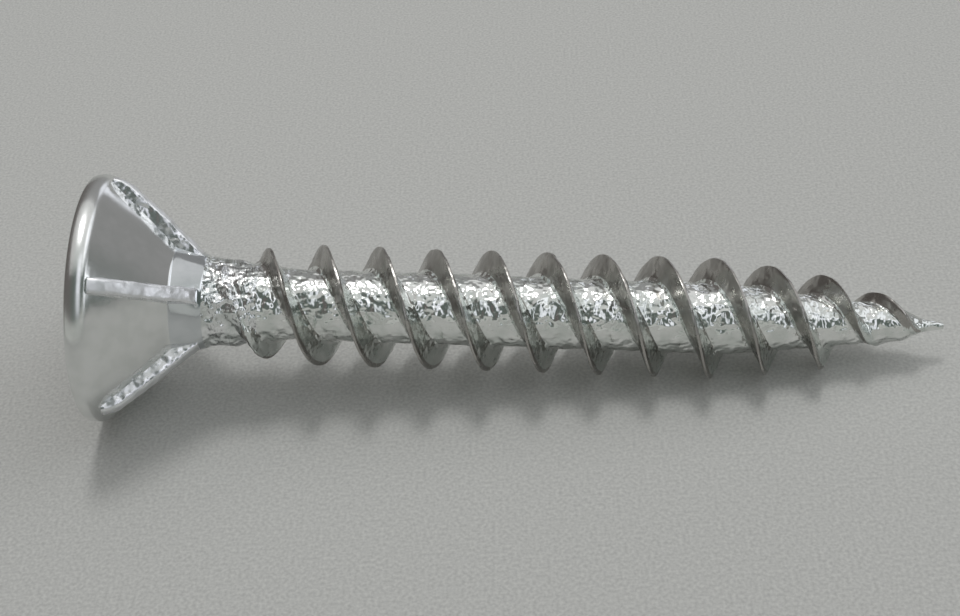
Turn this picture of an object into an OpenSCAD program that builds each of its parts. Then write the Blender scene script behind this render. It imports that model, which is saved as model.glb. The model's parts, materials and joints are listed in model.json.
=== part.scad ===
// Fibre cement screw: flat ribbed head with a cross recess, smooth neck, coarse
// twin-start thread and gimlet point, formed as one piece of steel wire.
// Millimetres. The screw lies at rest on the plane z = 0 along X, its head towards -X.

/* [Overall] */
// Length from the face of the head to the tip of the point
overall_length = 31.75; // [29:0.25:45]

/* [Head] */
// Diameter of the head across its rim
head_diameter = 9.2; // [8.4:0.1:11]
// Height of the straight rim round the head
rim_height = 0.62; // [0.4:0.02:0.8]
// Radius of the rounded edge between the face and the rim
face_edge_radius = 0.14; // [0.05:0.01:0.3]
// Distance from the face of the head to where its cone meets the neck
cone_end = 3.1; // [2.9:0.05:3.4]

/* [Ribs] */
// Number of ribs under the head
rib_count = 5; // [3:1:6]
// Turn of the ribs about the screw
rib_turn = 45; // [0:1:360]
// Width of a rib along its outer edge
rib_width = 0.56; // [0.4:0.02:0.8]
// Radius of the rounded corners along that edge
rib_edge_radius = 0.18; // [0.04:0.02:0.18]
// Lean of each side of a rib, so that it widens towards its foot
rib_draft = 5; // [0:1:20]
// Distance from the face of the head to the end of a rib's nose, which starts level with the rim
rib_nose = 1.25; // [0.9:0.05:1.4]
// Inward slope of a rib's nose along the axis, so that it stays clear of what the rim lies on
rib_nose_angle = 9; // [8:0.5:12]
// Angle between the axis and a rib's outer edge, from its nose to its tail
rib_angle = 42; // [38:0.5:44]
// Distance from the face of the head to the tail of a rib
rib_tail = 3.5; // [3.2:0.05:3.6]
// Length of the slope from the tail of a rib to the neck
rib_slope = 0.75; // [0.5:0.05:0.85]

/* [Cross recess] */
// Distance across two opposite wings at the face of the head
recess_diameter = 4.8; // [4.2:0.1:5.4]
// Distance across two opposite wings at their lower end
recess_lower_diameter = 2.4; // [2:0.1:2.8]
// Width of a wing
wing_width = 1.15; // [0.9:0.05:1.3]
// Depth of the wings
wing_depth = 2.2; // [1.6:0.05:2.4]
// Depth of the recess at its middle
recess_depth = 2.7; // [2.5:0.05:3]
// Diameter of the middle of the recess at the face of the head
recess_core_diameter = 2.4; // [2:0.1:2.8]
// Diameter of the middle of the recess at the lower end of the wings
recess_core_lower_diameter = 1.8; // [1.5:0.1:1.9]
// Diameter of the flat at the bottom of the recess
recess_floor_diameter = 0.5; // [0.2:0.1:1]

/* [Neck] */
// Diameter of the smooth neck under the head, at its end
neck_diameter = 3.45; // [3.2:0.05:3.8]
// How far the neck flares out, on each side, from its end to where the cone meets it
neck_flare = 0.28; // [0:0.02:0.36]
// Distance from the face of the head to the end of the smooth neck
neck_end = 4.35; // [4.3:0.05:5]
// Height of the small step where the smooth neck ends
neck_step = 0.06; // [0.03:0.01:0.1]
// Diameter of the core where the thread begins to rise
upper_root_diameter = 3.14; // [2.8:0.02:3.2]
// Length over which the core narrows to that diameter
neck_taper = 0.5; // [0.3:0.05:0.8]

/* [Thread] */
// Diameter over the thread crests
thread_diameter = 4.55; // [4:0.05:5.2]
// Diameter of the core between the threads
root_diameter = 2.64; // [2.3:0.02:2.9]
// Distance between neighbouring crests
thread_pitch = 2.09; // [1.8:0.01:2.6]
// Number of thread starts
thread_starts = 2; // [1:1:2]
// Width of a thread at its foot
thread_foot = 0.8; // [0.5:0.02:1]
// Width of a thread at its crest
thread_crest = 0.12; // [0.06:0.02:0.3]
// Length over which the thread grows to its full height
run_in = 3.2; // [2:0.1:5]
// Length of the first, steep part of that growth
first_rise = 0.8; // [0.4:0.1:1.6]
// Height of the thread after its first rise
first_height = 0.5; // [0.3:0.05:0.8]
// Turn of the thread about the screw
thread_turn = 135; // [0:1:360]

/* [Point] */
// Length of the tapered point
point_length = 8.25; // [6:0.25:10]
// Distance from the tip to the shoulder of the thread
shoulder_length = 4.6; // [3:0.1:5.5]
// Diameter over the crests at that shoulder
shoulder_diameter = 3.6; // [3:0.05:4]
// Length of the nose, where the thread dies out
nose_length = 1.6; // [1.3:0.05:2.5]
// Diameter of the core where the nose begins
nose_diameter = 1.24; // [0.9:0.02:1.6]
// Diameter over the crests where the nose begins
nose_crest_diameter = 1.9; // [1.7:0.05:2.4]
// Length of the bare nib at the end of the nose
nib_length = 0.8; // [0.4:0.05:1.2]
// Diameter of the nib where it begins
nib_diameter = 0.5; // [0.4:0.02:0.8]
// Diameter of the tip
tip_diameter = 0.16; // [0.1:0.02:0.3]

/* [Hidden] */

$fn = 96;
// Facets of the thread: rings in one turn, and strips of core between two threads
rings_per_turn = 24;
strips_between_threads = 8;
// How far a solid reaches into its neighbour, so that the two join
overlap = 0.4;
// How far the rim stands out beyond the start of a rib
rib_inset = 0.02;
// Turn of the head's seam about the axis, so that a meshed rim lies on a flat and not on a corner
seam_turn = 2.65;

head_radius = head_diameter / 2;
neck_radius = neck_diameter / 2;
flare_radius = neck_radius + neck_flare;

// Places along the screw, measured from the face of the head
shaft_start = neck_end - overlap;
run_in_end = neck_end + run_in;
point_start = overall_length - point_length;
shoulder_start = overall_length - shoulder_length;
nose_start = overall_length - nose_length;
nib_start = overall_length - nib_length;

// Radius of the core, and height of the thread on it, at places along the screw
core_table = [
    [neck_end, neck_radius - neck_step],
    [neck_end + neck_taper, upper_root_diameter / 2],
    [run_in_end, root_diameter / 2],
    [point_start, root_diameter / 2],
    [nose_start, nose_diameter / 2],
    [nib_start, nib_diameter / 2],
    [overall_length, tip_diameter / 2]
];
function core_radius(s) = lookup(s, core_table);
height_table = [
    [neck_end, 0],
    [neck_end + first_rise, first_height],
    [run_in_end, thread_diameter / 2 - core_radius(run_in_end)],
    [point_start, thread_diameter / 2 - core_radius(point_start)],
    [shoulder_start, shoulder_diameter / 2 - core_radius(shoulder_start)],
    [nose_start, nose_crest_diameter / 2 - core_radius(nose_start)],
    [nib_start, 0]
];
function thread_height(s) = lookup(s, height_table);

// One thread and the strip of core beside it, as [angle, share of the thread's height]
lead = thread_pitch * thread_starts;
foot_angle = 360 * thread_foot / lead;
crest_angle = 360 * thread_crest / lead;
flank_angle = (foot_angle - crest_angle) / 2;
gap_angle = 360 / thread_starts - foot_angle;
flank_shares = [0, 1 / 3, 2 / 3, 1];
rising_flank = [for (k = flank_shares) [k * flank_angle - foot_angle / 2, k]];
falling_flank = [for (i = [len(flank_shares) - 1 : -1 : 0]) [-rising_flank[i][0], rising_flank[i][1]]];
core_strip = [
    for (i = [1 : strips_between_threads - 1])
        [foot_angle / 2 + i * gap_angle / strips_between_threads, 0]
];
one_thread = concat(rising_flank, falling_flank, core_strip);
section = [
    for (n = [0 : thread_starts - 1])
        for (p = one_thread)
            [p[0] + n * 360 / thread_starts, p[1]]
];

// The section turns with the helix from ring to ring, so each thread edge is one line of points
ring_count = ceil((overall_length - shaft_start) / lead * rings_per_turn);
ring_step = (overall_length - shaft_start) / ring_count;
function ring(s) = [
    for (p = section)
        let (r = core_radius(s) + p[1] * thread_height(s), a = p[0] + 360 * s / lead + thread_turn)
        [r * cos(a), r * sin(a), s]
];
shaft_points = [for (i = [0 : ring_count]) each ring(shaft_start + i * ring_step)];

// The screw rests on the lower edge of its rim and on the thread crest that reaches lowest
rest_slopes = [
    for (p = shaft_points)
        if (p[2] > run_in_end) (head_radius + p[0]) / (p[2] - rim_height)
];
rest_tilt = atan(min(rest_slopes));
axis_height = rim_height * sin(rest_tilt) + head_radius * cos(rest_tilt);
middle = (overall_length * cos(rest_tilt) - head_radius * sin(rest_tilt)) / 2;

// Head and smooth neck, turned about the axis
module head_blank() {
    edge = face_edge_radius;
    rotate([0, 0, seam_turn])
        rotate_extrude()
        polygon(concat(
            [[0, 0]],
            [for (a = [0 : 15 : 90]) [head_radius - edge + edge * sin(a), edge - edge * cos(a)]],
            [[head_radius, rim_height], [flare_radius, cone_end], [neck_radius, neck_end], [0, neck_end]]
        ));
}

// One rib: a fin on the cone, nearly level with the rim at its nose, then straight to its tail
module rib() {
    start = [head_radius - rib_inset, rim_height - rib_inset];
    nose = [start[0] - (rib_nose - start[1]) * tan(rib_nose_angle), rib_nose];
    tail = [nose[0] - (rib_tail - rib_nose) * tan(rib_angle), rib_tail];
    foot = [neck_radius - overlap / 4, rib_tail + rib_slope];
    root = neck_radius / 2;
    edge = rib_edge_radius;
    half_width = rib_width / 2;
    foot_half_width = half_width + head_radius * tan(rib_draft);
    corner = [
        for (a = [0 : (90 - rib_draft) / 5 : 90 - rib_draft])
            [edge * cos(a) - edge, half_width - edge + edge * sin(a)]
    ];
    intersection() {
        rotate([90, 0, 0])
            linear_extrude(head_diameter, center = true)
            polygon([
                [root, start[1]],
                start,
                nose,
                tail,
                foot,
                [root, foot[1]]
            ]);
        translate([nose[0], 0, nose[1]])
            rotate([0, -rib_angle, 0])
            linear_extrude(2 * head_diameter, center = true)
            polygon(concat(
                corner,
                [[-head_radius, foot_half_width], [-head_radius, -foot_half_width]],
                [for (i = [len(corner) - 1 : -1 : 0]) [corner[i][0], -corner[i][1]]]
            ));
    }
}

// A straight taper of the given diameters at the face of the head and at the given depth,
// carried on above the face
module face_taper(upper, lower, depth) {
    carried = upper + (upper - lower) * overlap / depth;
    translate([0, 0, -overlap])
        cylinder(h = depth + overlap, d1 = carried, d2 = lower);
}

// The space that the driver takes in the head
module cross_recess() {
    intersection() {
        face_taper(recess_diameter, recess_lower_diameter, wing_depth);
        for (a = [0, 90])
            rotate([0, 0, a])
            translate([-recess_diameter, -wing_width / 2, -2 * overlap])
            cube([2 * recess_diameter, wing_width, recess_depth + 2 * overlap]);
    }
    face_taper(recess_core_diameter, recess_core_lower_diameter, wing_depth);
    translate([0, 0, wing_depth])
        cylinder(h = recess_depth - wing_depth, d1 = recess_core_lower_diameter, d2 = recess_floor_diameter);
}

// Core, threads and point, as one skin from ring to ring
module threaded_shaft() {
    m = len(section);
    last = ring_count * m;
    polyhedron(
        points = shaft_points,
        faces = concat(
            [[for (j = [0 : m - 1]) j]],
            [for (i = [0 : ring_count - 1]) for (j = [0 : m - 1])
                let (a = i * m + j, b = i * m + (j + 1) % m)
                each [[a, a + m, b], [b, a + m, b + m]]],
            [[for (j = [m - 1 : -1 : 0]) last + j]]
        )
    );
}

// The whole screw along Z, with the face of its head at z = 0
module upright_screw() {
    difference() {
        union() {
            head_blank();
            for (i = [0 : rib_count - 1])
                rotate([0, 0, rib_turn + i * 360 / rib_count])
                rib();
        }
        cross_recess();
    }
    threaded_shaft();
}

module screw() {
    color("silver")
        translate([-middle, 0, axis_height])
        rotate([0, -90 - rest_tilt, 180])
        upright_screw();
}

screw();
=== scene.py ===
"""A zinc-plated fibre cement screw, lying on a plain floor."""
import json
import math

import bmesh
import bpy
from mathutils import Matrix, Vector, noise


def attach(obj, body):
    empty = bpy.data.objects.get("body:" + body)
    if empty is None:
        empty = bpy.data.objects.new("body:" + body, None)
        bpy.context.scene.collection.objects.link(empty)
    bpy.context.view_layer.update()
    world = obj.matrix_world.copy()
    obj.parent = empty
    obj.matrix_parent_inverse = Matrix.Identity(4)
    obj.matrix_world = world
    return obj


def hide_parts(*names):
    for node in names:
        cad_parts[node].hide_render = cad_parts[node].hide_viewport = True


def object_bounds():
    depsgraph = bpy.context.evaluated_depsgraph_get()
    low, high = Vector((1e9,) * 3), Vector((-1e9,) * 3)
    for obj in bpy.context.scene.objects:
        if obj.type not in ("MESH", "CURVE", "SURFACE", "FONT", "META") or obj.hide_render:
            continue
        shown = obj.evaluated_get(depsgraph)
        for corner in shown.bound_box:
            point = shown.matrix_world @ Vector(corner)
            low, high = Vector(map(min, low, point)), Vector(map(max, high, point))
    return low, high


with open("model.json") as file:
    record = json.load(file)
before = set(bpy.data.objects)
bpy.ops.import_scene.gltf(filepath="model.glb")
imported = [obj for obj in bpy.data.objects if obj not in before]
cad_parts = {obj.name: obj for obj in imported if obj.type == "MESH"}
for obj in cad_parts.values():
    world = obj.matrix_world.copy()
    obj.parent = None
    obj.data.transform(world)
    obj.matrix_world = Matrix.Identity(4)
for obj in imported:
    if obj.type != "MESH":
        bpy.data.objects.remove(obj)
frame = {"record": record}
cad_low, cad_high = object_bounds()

# Sizes are in millimetres along the upright screw, from the face of its head, until it is laid down
MM = 0.001
OVERALL_LENGTH = 31.75

# Head
HEAD_RADIUS = 4.6
RIM_HEIGHT = 0.62
CONE_END = 3.1
CONE_FILLET = 0.06
PANEL_FLATNESS = 0.3
PANEL_HALF_SHARE = 0.4

# The rim's outline from the face to the cone: the radius of each arc and the degrees between which it turns
RIM_ARCS = ((0.14, -90, -20), (0.73, -20, 20), (0.45, 20, 46.3))
RIM_ARC_STEPS = 7

# Ribs under the head
RIB_COUNT = 5
RIB_TURN = math.radians(45)
RIB_HALF_WIDTH = 0.28
RIB_EDGE = 0.13
RIB_DRAFT = math.radians(5)
RIB_INSET = 0.02
RIB_NOSE = 1.25
RIB_NOSE_ANGLE = math.radians(9)
RIB_ANGLE = math.radians(42)
RIB_TAIL = 3.5
RIB_TAIL_LENGTH = 0.75
RIB_SINK = 0.1
RIB_NOSE_BLEND = 0.3
RIB_TAIL_BLEND = 0.2
RIB_LEAST_SECTION = 0.3

# Cross recess in the face
WING_RADIUS = 2.4
WING_LOWER_RADIUS = 1.2
WING_HALF_WIDTH = 0.575
WING_DEPTH = 2.2
RECESS_DEPTH = 2.7
RECESS_CORE_RADIUS = 1.2
RECESS_CORE_LOWER_RADIUS = 0.9
RECESS_FLOOR_RADIUS = 0.25
RECESS_FLOOR_OUTER_RADIUS = 0.96 * RECESS_CORE_LOWER_RADIUS
RECESS_EDGE = 0.06
FACE_CIRCLE_GAP = 0.3

# Neck
NECK_RADIUS = 1.725
NECK_END = 4.35
NECK_STEP = 0.06
NECK_STEP_LENGTH = 0.12
NECK_FLARE = 0.28
NECK_BLEND_START = RIB_TAIL + RIB_TAIL_LENGTH - 0.15
NECK_BLEND_END = NECK_END + 0.5

# Thread
LEAD = 4.18
STARTS = 2
THREAD_TURN = math.radians(135)
THREAD_RADIUS = 2.265
THREAD_FOOT = 0.8
THREAD_CREST = 0.12
FLANK_CURVE = 1.6
CREST_BLEND = 0.12
LEAST_THREAD_HEIGHT = 0.05
ROOT_RADIUS = 1.32
UPPER_ROOT_RADIUS = 1.57
FIRST_CREST = NECK_END + 0.8
FIRST_CREST_RADIUS = 1.9
THREAD_RISE_START = NECK_END + 0.3
THREAD_RISE_END = NECK_END + 2.2
RUN_IN_END = 7.55

# Point
POINT_START = 23.5
SHOULDER_START = 27.15
SHOULDER_RADIUS = 1.79
SHORT_THREAD_START = SHOULDER_START + 0.3
SHORT_THREAD_END = 29.2
SHORT_THREAD_LOSS = 0.8
NOSE_START = 30.15
NOSE_RADIUS = 0.62
NOSE_CREST_RADIUS = 0.94
NIB_START = 30.95
NIB_RADIUS = 0.25
TIP_RADIUS = 0.12

# Radius of the core and of the thread's crest, at places along the screw
CORE_TABLE = (
    (NECK_END, NECK_RADIUS - NECK_STEP), (NECK_BLEND_END, UPPER_ROOT_RADIUS), (RUN_IN_END, ROOT_RADIUS),
    (POINT_START, ROOT_RADIUS), (NOSE_START, NOSE_RADIUS), (NIB_START, NIB_RADIUS),
    (OVERALL_LENGTH, TIP_RADIUS),
)
CREST_TABLE = (
    (FIRST_CREST, FIRST_CREST_RADIUS), (RUN_IN_END, THREAD_RADIUS), (POINT_START, THREAD_RADIUS),
    (SHOULDER_START, SHOULDER_RADIUS), (NOSE_START, NOSE_CREST_RADIUS), (NIB_START, NIB_RADIUS),
    (OVERALL_LENGTH, TIP_RADIUS),
)

# Unevenness of forming and rolling: how far its lumps and its dents move the skin
UNEVENNESS = {"core": (0.04, 0.04), "collar": (0.06, 0.09), "rib": (0.035, 0.03)}
LUMPS_PER_MM = 1.4
DENTS_PER_MM = 2.7
DENTS_OFFSET = Vector((3, 7, 1))

# Where the unevenness begins and where it is full: along the screw, and above the cone
CORE_FADE = (NECK_END - 0.1, NECK_END + 0.3)
TIP_FADE = (OVERALL_LENGTH, NOSE_START - 1)
COLLAR_FADE = (NECK_END + 2.4, NECK_END + 1)
RIM_FADE = (RIM_HEIGHT, RIM_HEIGHT + 0.4)
RIB_TAIL_FADE = (NECK_END + 0.2, NECK_END - 0.1)
RIB_HEIGHT_FADE = (0.1, 0.35)

# How far up the thread the skin stops being moved out, so that the crest keeps its radius
CREST_FADE = (0.75, 0.95)

# Finishes: deep and pale colour, roughness where smooth and where dull, size of the grain in millimetres,
# and height of its relief in metres
# The ribs' paler tints are painted light; the darker tints of the neck, of the thread's head-facing flanks
# and of its crests are painted shade
FINISHES = {
    "smooth_zinc": ((0.76, 0.775, 0.76), (0.82, 0.83, 0.82), 0.1, 0.16, 0.2, 0.000001),
    # Ribs: zinc tinted paler than the rest, painted light
    "rib_top_zinc_painted_light": ((0.82, 0.83, 0.84), (0.92, 0.925, 0.94), 0.34, 0.44, 0.4, 0.00005),
    "rib_wall_zinc_painted_light": ((0.8, 0.81, 0.82), (0.9, 0.905, 0.92), 0.2, 0.3, 0.36, 0.00009),
    "rim_zinc": ((0.76, 0.775, 0.76), (0.82, 0.83, 0.82), 0.2, 0.26, 0.2, 0.000001),
    # Neck: zinc tinted darker and bluer than the head's, painted shade
    "neck_zinc_painted_shade": ((0.63, 0.655, 0.67), (0.69, 0.715, 0.73), 0.1, 0.14, 0.2, 0.000001),
    "rough_zinc": ((0.7, 0.73, 0.71), (0.9, 0.91, 0.91), 0.12, 0.25, 0.38, 0.00024),
    "rolled_zinc": ((0.74, 0.77, 0.74), (0.88, 0.89, 0.87), 0.12, 0.22, 0.34, 0.00012),
    "tip_flank_zinc": ((0.66, 0.7, 0.67), (0.78, 0.81, 0.78), 0.18, 0.28, 0.34, 0.00006),
    # Darker tint for the flanks that face the head and for the crests: painted shade
    "head_flank_painted_shade_zinc": ((0.38, 0.365, 0.345), (0.46, 0.445, 0.42), 0.24, 0.34, 0.34, 0.00004),
}

# Where one finish ends and the next begins: along the screw, up the thread, and by the way the skin faces
COLLAR_START = NECK_END - 0.1
COLLAR_END = 6.2
FLANKS_START = NECK_END + 1.3
FLANK_FOOT = 0.12
FLANK_TOP = 0.85
FLANK_FACING = -0.2
RIB_FINISH_START = RIM_HEIGHT + 0.1
RIB_WALL_FACING = 0.75
RIB_WALL_MARGIN = 0.05
RIB_TOP_SHARE = 0.6
LEAST_RIB_TOP = 0.03
RIM_FINISH_END = RIM_HEIGHT + 0.14
RIM_FINISH_WIDTH = 0.2

# Grain of the plating's tint and of the floor's paper, to a metre
PATCHES_PER_METRE = 1500
FIBRES_PER_METRE = 8000

# The skin is one sheet of rings, each of this many points, that all begin beside the first rib
COLUMNS = 160
RINGS_PER_TURN = 46
FIRST_ANGLE = RIB_TURN - math.radians(6)
LEAST_HEAD_RING = 1
SHARP_ANGLE = math.radians(38)


def between(table, s):
    """The value at s on straight lines through the table's points."""
    if s <= table[0][0]:
        return table[0][1]
    for (s0, v0), (s1, v1) in zip(table, table[1:]):
        if s <= s1:
            return v0 + (v1 - v0) * (s - s0) / (s1 - s0)
    return table[-1][1]


def ease(low, high, s):
    """0 at low, 1 at high, and smooth between them."""
    t = min(1, max(0, (s - low) / (high - low)))
    return t * t * (3 - 2 * t)


def lesser(a, b, blend):
    """The lesser of two values, rounded where they cross."""
    return min(a, b) - max(blend - abs(a - b), 0) ** 2 / (4 * blend)


def polar(radius, angle):
    """The point at a distance and an angle from the axis."""
    return Vector((radius * math.cos(angle), radius * math.sin(angle)))


def mix(a, b, share):
    """A ring that is some share of the way from one ring to another."""
    return [p.lerp(q, share) for p, q in zip(a, b)]


def cone_radius(s):
    """Radius of the head's cone, and of the flared neck below it."""
    neck_top = NECK_RADIUS + NECK_FLARE
    cone = HEAD_RADIUS - (HEAD_RADIUS - neck_top) * (s - RIM_HEIGHT) / (CONE_END - RIM_HEIGHT)
    neck = NECK_RADIUS + NECK_FLARE * (NECK_END - s) / (NECK_END - CONE_END)
    return -lesser(-cone, -neck, CONE_FILLET)


def panel_flatness(s):
    """How far the cone is flattened between two ribs: not at the rim, and most where the neck begins."""
    return PANEL_FLATNESS * ease(RIM_HEIGHT, CONE_END, s) * ease(NECK_END, CONE_END, s)


def rib_radius(s):
    """Distance of a rib's outer edge from the axis: a nose near the rim, a long slope, a short steep tail."""
    start = HEAD_RADIUS - RIB_INSET
    nose = start - (s - RIM_HEIGHT) * math.tan(RIB_NOSE_ANGLE)
    nose_end = start - (RIB_NOSE - RIM_HEIGHT) * math.tan(RIB_NOSE_ANGLE)
    slope = nose_end - (s - RIB_NOSE) * math.tan(RIB_ANGLE)
    tail_start = nose_end - (RIB_TAIL - RIB_NOSE) * math.tan(RIB_ANGLE)
    tail = tail_start + (NECK_RADIUS - RIB_SINK - tail_start) * (s - RIB_TAIL) / RIB_TAIL_LENGTH
    return lesser(lesser(nose, slope, RIB_NOSE_BLEND), tail, RIB_TAIL_BLEND)


def rib_section(height):
    """Points across a rib as (offset, height) from its middle to one foot."""
    full = max(height, RIB_LEAST_SECTION)
    flat = RIB_HALF_WIDTH - RIB_EDGE
    points = [(flat, full)]
    for turn in (18, 36, 54, 72):
        a = math.radians(turn)
        points.append((flat + RIB_EDGE * math.sin(a), full - RIB_EDGE * (1 - math.cos(a))))
    top = Vector(points[-1])
    foot = Vector((RIB_HALF_WIDTH + full * math.cos(RIB_ANGLE) * math.tan(RIB_DRAFT), 0))
    points += [top.lerp(foot, i / 4) for i in range(1, 5)]
    return [(v, u * height / full) for v, u in points]


def head_ring(radius, edge=0, flatness=0):
    """Points round the head: a circle, flattened between the ribs, with the ribs' edges at a given radius."""
    sector = 2 * math.pi / RIB_COUNT
    foot_radius = radius * (1 + flatness * (1 / math.cos(sector * PANEL_HALF_SHARE) - 1))
    height = max(0, edge - foot_radius)
    half = rib_section(height)
    section = [(-v, u) for v, u in reversed(half)] + [(0, height)] + half
    foot = math.asin(half[-1][0] / foot_radius)
    panel = sector - 2 * foot
    panel_steps = COLUMNS // RIB_COUNT - len(section) + 1
    points = []
    for rib in range(RIB_COUNT):
        middle = RIB_TURN + rib * sector
        turn = Matrix.Rotation(middle, 2)
        points += [turn @ Vector((math.sqrt(foot_radius ** 2 - v ** 2) + u, v)) for v, u in section]
        for i in range(1, panel_steps):
            across = 2 * i / panel_steps - 1
            bow = radius + (foot_radius - radius) * across ** 2
            points.append(polar(bow, middle + sector / 2 + across * panel / 2))
    return points


def recess_ring(wing, core, grow=0):
    """Points round the cross recess: four wings and the round middle between them."""
    half = WING_HALF_WIDTH + grow
    wing, core = wing + grow, core + grow
    corner = math.sqrt(wing ** 2 - half ** 2)
    inner = math.sqrt(core ** 2 - half ** 2)
    tip_steps, side_steps = 4, 8
    arc_steps = COLUMNS // 4 - 2 * tip_steps - 2 * side_steps
    tip_angle, arc_angle = math.atan2(half, corner), math.atan2(half, inner)
    rising = [polar(wing, tip_angle * i / tip_steps) for i in range(tip_steps)]
    rising += [Vector((corner + (inner - corner) * i / side_steps, half)) for i in range(side_steps)]
    arc = [
        polar(core, arc_angle + (math.pi / 2 - 2 * arc_angle) * i / arc_steps) for i in range(arc_steps)
    ]
    quarter = rising + arc + [Vector((half, inner))] + [p.yx for p in reversed(rising[1:])]
    points = [Matrix.Rotation(q * math.pi / 2, 2) @ p for q in range(4) for p in quarter]
    first = round(FIRST_ANGLE / (2 * math.pi) * COLUMNS)
    return points[first:] + points[:first]


def thread_columns():
    """The threads' sections: each column's angle, share of the thread's height, and which thread it is in."""
    # Places across half a thread, closest together at its crest
    across = (0.04, 0.11, 0.17, 0.24, 0.34, 0.46, 0.6, 0.74, 0.88, 1)
    across = [-a for a in reversed(across)] + list(across)
    rise = 1 - THREAD_CREST / THREAD_FOOT
    foot = math.pi * THREAD_FOOT / LEAD
    sector = 2 * math.pi / STARTS
    gap_steps = COLUMNS // STARTS - len(across) + 1
    columns = []
    for start in range(STARTS):
        columns += [
            (start * sector + a * foot, lesser(1, ((1 - abs(a)) / rise) ** FLANK_CURVE, CREST_BLEND), start)
            for a in across
        ]
        gap = sector - 2 * foot
        columns += [(start * sector + foot + gap * i / gap_steps, 0, start) for i in range(1, gap_steps)]
    return columns


def thread_ring(s):
    """Points round the threaded shaft, where the first thread runs out on the point before the second."""
    core = between(CORE_TABLE, s)
    height = max(0, between(CREST_TABLE, s) - core) * ease(THREAD_RISE_START, THREAD_RISE_END, s)
    heights = (height * (1 - SHORT_THREAD_LOSS * ease(SHORT_THREAD_START, SHORT_THREAD_END, s)), height)
    columns = thread_columns()
    at_neck = THREAD_TURN + 2 * math.pi * NECK_END / LEAD
    first = round((FIRST_ANGLE - at_neck) / (2 * math.pi) * COLUMNS) % COLUMNS
    turned = THREAD_TURN + 2 * math.pi * s / LEAD
    return [
        polar(core + share * heights[start], angle + turned)
        for angle, share, start in columns[first:] + columns[:first]
    ]


def recess_rings():
    """From the bottom of the recess to its mouth."""
    floor = recess_ring(WING_LOWER_RADIUS, RECESS_CORE_LOWER_RADIUS)
    floor_steps, wall_steps, mouth_steps = 4, 8, 3
    rings = []
    for i in range(floor_steps + 1):
        t = i / floor_steps
        radius = RECESS_FLOOR_RADIUS + (RECESS_FLOOR_OUTER_RADIUS - RECESS_FLOOR_RADIUS) * t
        depth = RECESS_DEPTH + (WING_DEPTH - RECESS_DEPTH) * t
        rings.append(([p.normalized() * radius for p in floor], depth))
    for i in range(wall_steps + 1):
        t = i / wall_steps
        wing = WING_LOWER_RADIUS + (WING_RADIUS - WING_LOWER_RADIUS) * t
        core = RECESS_CORE_LOWER_RADIUS + (RECESS_CORE_RADIUS - RECESS_CORE_LOWER_RADIUS) * t
        rings.append((recess_ring(wing, core), WING_DEPTH * (1 - t) + RECESS_EDGE * t))
    for i in range(1, mouth_steps + 1):
        a = i / mouth_steps * math.pi / 2
        mouth = recess_ring(WING_RADIUS, RECESS_CORE_RADIUS, RECESS_EDGE * (1 - math.cos(a)))
        rings.append((mouth, RECESS_EDGE * (1 - math.sin(a))))
    return rings


def blended(ring, s):
    """The head's ring above the thread, the thread's ring below its start, and a mix of both between."""
    return mix(ring, thread_ring(s), ease(NECK_BLEND_START, NECK_BLEND_END, s))


def rim_outline():
    """The rim's rounded outline as (radius, s), from the face to the cone, drawn as a chain of arcs."""
    r = HEAD_RADIUS
    for size, turn_from, turn_to in RIM_ARCS:
        if turn_from < 0:
            r -= size * (math.cos(math.radians(min(turn_to, 0))) - math.cos(math.radians(turn_from)))
    s = 0
    points = [(r, s)]
    for size, turn_from, turn_to in RIM_ARCS:
        for i in range(RIM_ARC_STEPS):
            a = math.radians(turn_from + (turn_to - turn_from) * i / RIM_ARC_STEPS)
            b = math.radians(turn_from + (turn_to - turn_from) * (i + 1) / RIM_ARC_STEPS)
            r += size * (math.cos(b) - math.cos(a))
            s += size * (math.sin(b) - math.sin(a))
            points.append((r, s))
    return points


def face_rings(mouth, edge):
    """The flat face: straight out from the recess to a circle, then turning to the points of the rim."""
    circle = [p.normalized() * (WING_RADIUS + FACE_CIRCLE_GAP) for p in mouth]
    straight_steps, turning_steps = 3, 6
    rings = [(mix(mouth, circle, i / straight_steps), 0) for i in range(1, straight_steps + 1)]
    for i in range(1, turning_steps):
        points = []
        for p, q in zip(circle, edge):
            start = math.atan2(p.y, p.x)
            turn = (math.atan2(q.y, q.x) - start + math.pi) % (2 * math.pi) - math.pi
            radius = p.length + (q.length - p.length) * i / turning_steps
            points.append(polar(radius, start + turn * i / turning_steps))
        rings.append((points, 0))
    return rings


def head_rings(mouth):
    """From the mouth of the recess over the face, the rim and the ribbed cone to the end of the neck."""
    rim = rim_outline()
    rings = face_rings(mouth, head_ring(rim[0][0]))
    rings += [(head_ring(r), s) for r, s in rim]
    cone_steps, neck_steps = 40, 20
    start = rim[-1][1]
    places = [start + (CONE_END - start) * i / cone_steps for i in range(1, cone_steps + 1)]
    places += [CONE_END + (NECK_END - CONE_END) * i / neck_steps for i in range(1, neck_steps + 1)]
    for s in places:
        radius = cone_radius(s) - NECK_STEP * ease(NECK_END - NECK_STEP_LENGTH, NECK_END, s)
        rings.append((blended(head_ring(radius, rib_radius(s), panel_flatness(s)), s), s))
    return rings


def shaft_rings():
    """From the end of the neck to the tip."""
    steps = math.ceil((OVERALL_LENGTH - NECK_END) / LEAD * RINGS_PER_TURN)
    rings = []
    for i in range(1, steps + 1):
        s = NECK_END + (OVERALL_LENGTH - NECK_END) * i / steps
        rings.append((blended(head_ring(max(between(CORE_TABLE, s), LEAST_HEAD_RING)), s), s))
    return rings


def up_thread(r, s):
    """How far up the thread a radius lies: 0 at the core, 1 at the crest."""
    core = between(CORE_TABLE, s)
    return (r - core) / max(between(CREST_TABLE, s) - core, LEAST_THREAD_HEIGHT)


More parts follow.
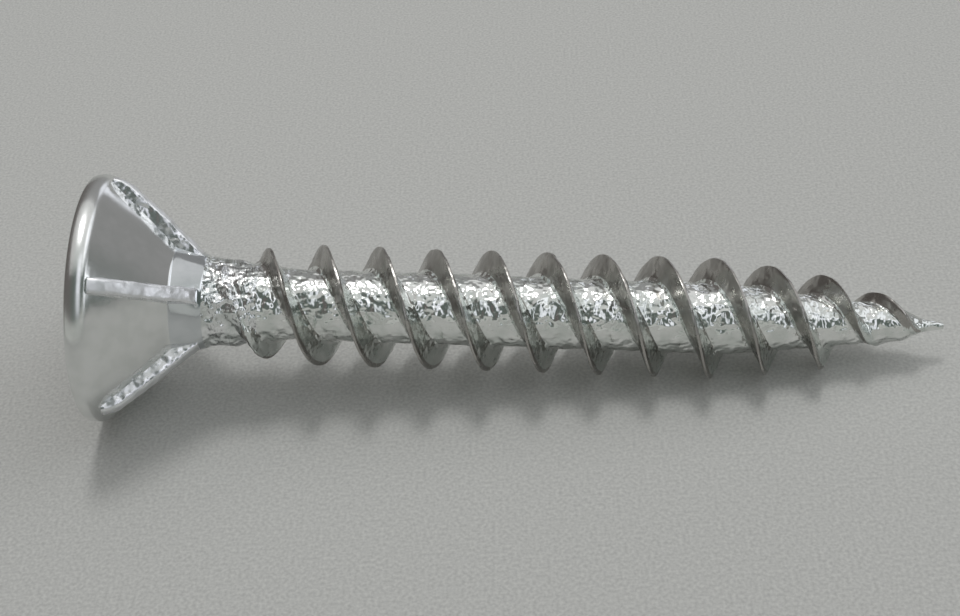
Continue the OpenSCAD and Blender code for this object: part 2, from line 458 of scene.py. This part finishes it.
def rough_shift(p):
    """How far the skin moves in or out at a point, for the unevenness of forming and rolling."""
    s = p.z
    r = math.hypot(p.x, p.y)
    core = ease(*CORE_FADE, s) * ease(*TIP_FADE, s)
    collar = core * ease(*COLLAR_FADE, s)
    rib = ease(*RIB_HEIGHT_FADE, r - cone_radius(s)) * ease(*RIB_TAIL_FADE, s) * ease(*RIM_FADE, s)
    lumps = noise.noise(p * LUMPS_PER_MM)
    dents = noise.noise(p * DENTS_PER_MM + DENTS_OFFSET)
    shift = 0
    for place, share in (("core", core), ("collar", collar), ("rib", rib)):
        lump, dent = UNEVENNESS[place]
        shift += share * (lump * lumps + dent * dents)
    on_crest = ease(*CREST_FADE, up_thread(r, s)) * core
    return shift - on_crest * max(shift, 0)


def mesh_object(name, bm):
    """A new object in the scene, made from a bmesh."""
    mesh = bpy.data.meshes.new(name)
    bm.to_mesh(mesh)
    bm.free()
    obj = bpy.data.objects.new(name, mesh)
    bpy.context.scene.collection.objects.link(obj)
    return obj


def lying_pose():
    """From the upright screw in millimetres to the lying one in metres, by the mounts in the record."""
    mounts = {m["name"]: m for m in frame["record"]["mounts"]}
    face = Vector(mounts["drive_recess"]["pos_m"])
    along = -Vector(mounts["drive_recess"]["axis"]).normalized()
    side = Vector((0, -1, 0))
    up = side.cross(along)
    turn = Matrix((up, side, along)).transposed().to_4x4()
    return Matrix.Translation(face) @ turn @ Matrix.Scale(MM, 4)


def finish_at(p, normal):
    """The name of the finish at a point of the upright screw. The thread's flanks that face the head, and its
    crests, take a darker tint: painted shade.
    """
    r = math.hypot(p.x, p.y)
    up = up_thread(r, p.z)
    if p.z > FLANKS_START and up > FLANK_FOOT:
        # Flanks facing the head, and the crests, take the darker tint: painted shade
        return "tip_flank_zinc" if normal.z > FLANK_FACING and up < FLANK_TOP else "head_flank_painted_shade_zinc"
    if p.z > COLLAR_END:
        return "rolled_zinc"
    if p.z > COLLAR_START:
        return "rough_zinc"
    above_cone = r - cone_radius(p.z)
    rise = rib_radius(p.z) - cone_radius(p.z)
    sideways = abs(normal.y * p.x - normal.x * p.y) / r
    # The ribs' paler tints are painted light
    if p.z > RIB_FINISH_START and above_cone > -RIB_WALL_MARGIN and sideways > RIB_WALL_FACING:
        return "rib_wall_zinc_painted_light"
    if p.z > RIB_FINISH_START and above_cone > RIB_TOP_SHARE * rise > LEAST_RIB_TOP:
        return "rib_top_zinc_painted_light"
    if p.z < RIM_FINISH_END and r > HEAD_RADIUS - RIM_FINISH_WIDTH:
        return "rim_zinc"
    # The neck's darker tint is painted shade
    return "neck_zinc_painted_shade" if p.z > CONE_END else "smooth_zinc"


def screw_body():
    """The whole screw as one closed skin, drawn ring by ring from the bottom of the recess to the tip."""
    rings = recess_rings()
    rings += head_rings(rings[-1][0])
    rings += shaft_rings()
    bm = bmesh.new()
    loop = bmesh.ops.create_circle(bm, segments=COLUMNS, radius=1)["verts"]
    first = loop
    for n, (points, s) in enumerate(rings):
        if n:
            edges = [bm.edges.get((loop[j], loop[j - 1])) for j in range(COLUMNS)]
            made = set(bmesh.ops.extrude_edge_only(bm, edges=edges)["geom"])
            loop = [next(e.other_vert(v) for e in v.link_edges if e.other_vert(v) in made) for v in loop]
        for v, p in zip(loop, points):
            v.co = (p.x, p.y, s)
    for end in (first, loop):
        bmesh.ops.contextual_create(bm, geom=end)
    bmesh.ops.recalc_face_normals(bm, faces=bm.faces)
    for e in bm.edges:
        e.smooth = e.calc_face_angle(0) < SHARP_ANGLE
    for v, shift in [(v, v.normal * rough_shift(v.co)) for v in bm.verts]:
        v.co += shift
    for f in bm.faces:
        f.smooth = True
        f.material_index = list(FINISHES).index(finish_at(f.calc_center_median(), f.normal))
    bmesh.ops.transform(bm, matrix=lying_pose(), verts=bm.verts)
    # The skin stays inside the box of the solid that it stands for
    for v in bm.verts:
        v.co = [min(max(c, low), high) for c, low, high in zip(v.co, cad_low, cad_high)]
    bmesh.ops.recalc_face_normals(bm, faces=bm.faces)
    return mesh_object("screw_body", bm)


def link(tree, source, output, target, socket):
    """Joins an output of one node to an input of another."""
    tree.links.new(source.outputs[output], target.inputs[socket])


def soft_step(tree, source, output, low, high):
    """A node that rises smoothly from 0 to 1 between two values of its input."""
    node = tree.nodes.new("ShaderNodeMapRange")
    node.interpolation_type = "SMOOTHSTEP"
    node.inputs["From Min"].default_value = low
    node.inputs["From Max"].default_value = high
    link(tree, source, output, node, "Value")
    return node


def plating_grain():
    """Node group for the plating's unevenness: a tint, a roughness and a height."""
    tree = bpy.data.node_groups.new("plating_grain", "ShaderNodeTree")
    for name, kind, way in (
        ("Deep", "NodeSocketColor", "INPUT"), ("Pale", "NodeSocketColor", "INPUT"),
        ("Smooth", "NodeSocketFloat", "INPUT"), ("Dull", "NodeSocketFloat", "INPUT"),
        ("Grain", "NodeSocketFloat", "INPUT"), ("Tint", "NodeSocketColor", "OUTPUT"),
        ("Roughness", "NodeSocketFloat", "OUTPUT"), ("Height", "NodeSocketFloat", "OUTPUT"),
    ):
        tree.interface.new_socket(name, in_out=way, socket_type=kind)
    given = tree.nodes.new("NodeGroupInput")
    result = tree.nodes.new("NodeGroupOutput")
    place = tree.nodes.new("ShaderNodeTexCoord")

    cloud = tree.nodes.new("ShaderNodeTexNoise")
    cloud.inputs["Scale"].default_value = PATCHES_PER_METRE
    cloud.inputs["Detail"].default_value = 3
    link(tree, place, "Object", cloud, "Vector")
    patches = soft_step(tree, cloud, "Fac", 0.35, 0.65)
    tint = tree.nodes.new("ShaderNodeMix")
    tint.data_type = "RGBA"
    link(tree, patches, "Result", tint, "Factor")
    tree.links.new(given.outputs["Deep"], tint.inputs["A"])
    tree.links.new(given.outputs["Pale"], tint.inputs["B"])
    tree.links.new(tint.outputs["Result"], result.inputs["Tint"])

    dull = tree.nodes.new("ShaderNodeMapRange")
    link(tree, patches, "Result", dull, "Value")
    link(tree, given, "Dull", dull, "To Min")
    link(tree, given, "Smooth", dull, "To Max")
    link(tree, dull, "Result", result, "Roughness")

    grain = tree.nodes.new("ShaderNodeTexNoise")
    grain.inputs["Detail"].default_value = 1
    link(tree, place, "Object", grain, "Vector")
    link(tree, given, "Grain", grain, "Scale")
    link(tree, grain, "Fac", result, "Height")
    return tree


def zinc_finish(name, group, deep, pale, smooth, dull, grain, relief):
    """Zinc from deep to pale grey, with roughness from smooth to dull, and with the grain as its relief."""
    mat = bpy.data.materials.new(name)
    mat.use_nodes = True
    tree = mat.node_tree
    shader = tree.nodes["Principled BSDF"]
    shader.inputs["Metallic"].default_value = 1
    plating = tree.nodes.new("ShaderNodeGroup")
    plating.node_tree = group
    plating.inputs["Deep"].default_value = (*deep, 1)
    plating.inputs["Pale"].default_value = (*pale, 1)
    plating.inputs["Smooth"].default_value = smooth
    plating.inputs["Dull"].default_value = dull
    plating.inputs["Grain"].default_value = 1 / (grain * MM)
    bump = tree.nodes.new("ShaderNodeBump")
    bump.inputs["Strength"].default_value = 1
    bump.inputs["Distance"].default_value = relief
    link(tree, plating, "Tint", shader, "Base Color")
    link(tree, plating, "Roughness", shader, "Roughness")
    link(tree, plating, "Height", bump, "Height")
    link(tree, bump, "Normal", shader, "Normal")
    return mat


def floor_sheet():
    """A plain grey sheet under the screw."""
    half_width = 0.6
    dark, pale = (0.54, 0.54, 0.52), (0.71, 0.71, 0.682)
    bm = bmesh.new()
    bmesh.ops.create_grid(bm, x_segments=1, y_segments=1, size=half_width)
    floor = mesh_object("floor", bm)
    mat = bpy.data.materials.new("grey_paper")
    mat.use_nodes = True
    tree = mat.node_tree
    shader = tree.nodes["Principled BSDF"]
    shader.inputs["Roughness"].default_value = 0.95
    shader.inputs["Specular IOR Level"].default_value = 0.1
    place = tree.nodes.new("ShaderNodeTexCoord")
    fibre = tree.nodes.new("ShaderNodeTexNoise")
    fibre.inputs["Scale"].default_value = FIBRES_PER_METRE
    fibre.inputs["Detail"].default_value = 4
    shade = tree.nodes.new("ShaderNodeValToRGB")
    shade.color_ramp.elements[0].position = 0.3
    shade.color_ramp.elements[0].color = (*dark, 1)
    shade.color_ramp.elements[1].position = 0.7
    shade.color_ramp.elements[1].color = (*pale, 1)
    link(tree, place, "Object", fibre, "Vector")
    link(tree, fibre, "Fac", shade, "Fac")
    link(tree, shade, "Color", shader, "Base Color")
    floor.data.materials.append(mat)


def area_lamp(name, width, depth, radiance, place):
    """A rectangular lamp that shines with an even brightness along its own -Z."""
    lamp = bpy.data.lights.new(name, "AREA")
    lamp.shape = "RECTANGLE"
    lamp.size = width
    lamp.size_y = depth
    lamp.energy = radiance * math.pi * width * depth
    lamp_object = bpy.data.objects.new(name, lamp)
    lamp_object.matrix_world = place
    bpy.context.scene.collection.objects.link(lamp_object)


def overhead_panel():
    """One broad soft light above the screw, reaching back behind it."""
    height, width, front, rear, radiance = 0.1, 0.15, -0.045, 0.1, 0.42
    place = Matrix.Translation((0, (front + rear) / 2, height))
    area_lamp("overhead_panel", width, rear - front, radiance, place)


def key_lamp():
    """A small lamp high behind the screw, for its glints and the shadow that falls towards the viewer."""
    distance, width, depth, radiance = 0.3, 0.05, 0.08, 13
    towards = Vector((-0.03, 0.23, 0.97)).normalized()
    turn = towards.to_track_quat("Z", "Y").to_matrix().to_4x4()
    area_lamp("key_lamp", width, depth, radiance, Matrix.Translation(towards * distance) @ turn)


def room():
    """The room round the screw: dark, paler behind and low in front, with bright panes front and right."""
    world = bpy.data.worlds.new("room")
    bpy.context.scene.world = world
    world.use_nodes = True
    tree = world.node_tree
    direction = tree.nodes.new("ShaderNodeTexCoord")

    def step(towards, low, high):
        """Rises from 0 to 1 as the direction turns towards a vector."""
        turned = tree.nodes.new("ShaderNodeVectorMath")
        turned.operation = "DOT_PRODUCT"
        turned.inputs[1].default_value = towards
        link(tree, direction, "Generated", turned, 0)
        return soft_step(tree, turned, "Value", low, high)

    def within(first, *others):
        """The share inside every one of some steps."""
        for other in others:
            both = tree.nodes.new("ShaderNodeMath")
            both.operation = "MULTIPLY"
            link(tree, first, 0, both, 0)
            link(tree, other, 0, both, 1)
            first = both
        return first

    right, back, up = (1, 0, 0), (0, 1, 0), (0, 0, 1)
    behind = step(back, -0.4, 0.5)
    left = step(right, -0.05, -0.5)
    low_front = within(step(back, -0.3, -0.6), step(up, 0.34, 0.22))
    front_pane = within(
        step(right, 0.1, 0.24), step(right, 0.5, 0.42),
        step((0, 0.35, 1), 0.02, 0.12), step((0, 0.5, 1), 0.86, 0.74),
    )
    right_pane = within(
        step(right, 0.5, 0.6), step((0, -0.3, 1), 0.21, 0.28), step((0, 0.35, 1), 0.54, 0.64),
    )
    side_card = within(step(right, 0.86, 0.92), step(back, 0.02, -0.06), step(up, 0.08, 0.14))
    dark = (0.1, 0.122, 0.11)
    below = None
    for share, colour in (
        (behind, (0.28, 0.28, 0.28)),
        (left, (0.13, 0.12, 0.115)),
        (low_front, (0.45, 0.46, 0.44)),
        (front_pane, (0.88, 0.9, 0.96)),
        (right_pane, (1, 1.02, 1.06)),
        (side_card, (1.6, 1.63, 1.73)),
    ):
        layer = tree.nodes.new("ShaderNodeMix")
        layer.data_type = "RGBA"
        layer.inputs["A"].default_value = (*dark, 1)
        layer.inputs["B"].default_value = (*colour, 1)
        link(tree, share, 0, layer, "Factor")
        if below:
            tree.links.new(below.outputs["Result"], layer.inputs["A"])
        below = layer
    tree.links.new(below.outputs["Result"], tree.nodes["Background"].inputs["Color"])


def photo_camera():
    """The photograph's view: from in front, looking down, a little nearer to the tip."""
    azimuth, elevation, roll = (math.radians(a) for a in (3.905, 39.5, -5.035))
    distance, focal_pixels, image_width = 0.054765, 1465.1, 960
    aim_shift = Vector((-0.001504, 0, 0.000277))
    aim = lying_pose() @ Vector((0, 0, OVERALL_LENGTH / 2)) + aim_shift
    back = Vector((
        math.sin(azimuth) * math.cos(elevation),
        -math.cos(azimuth) * math.cos(elevation),
        math.sin(elevation),
    ))
    data = bpy.data.cameras.new("camera")
    data.sensor_width = 36
    data.lens = data.sensor_width * focal_pixels / image_width
    data.clip_start = 0.001
    camera = bpy.data.objects.new("camera", data)
    turn = (-back).to_track_quat("-Z", "Y").to_matrix() @ Matrix.Rotation(roll, 3, "Z")
    camera.matrix_world = Matrix.Translation(aim + back * distance) @ turn.to_4x4()
    bpy.context.scene.collection.objects.link(camera)
    bpy.context.scene.camera = camera


screw = screw_body()
grain = plating_grain()
for name, values in FINISHES.items():
    screw.data.materials.append(zinc_finish(name, grain, *values))
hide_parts("screw")
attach(screw, "root")
floor_sheet()
overhead_panel()
key_lamp()
room()
photo_camera()
bpy.context.scene.view_settings.view_transform = "Standard"
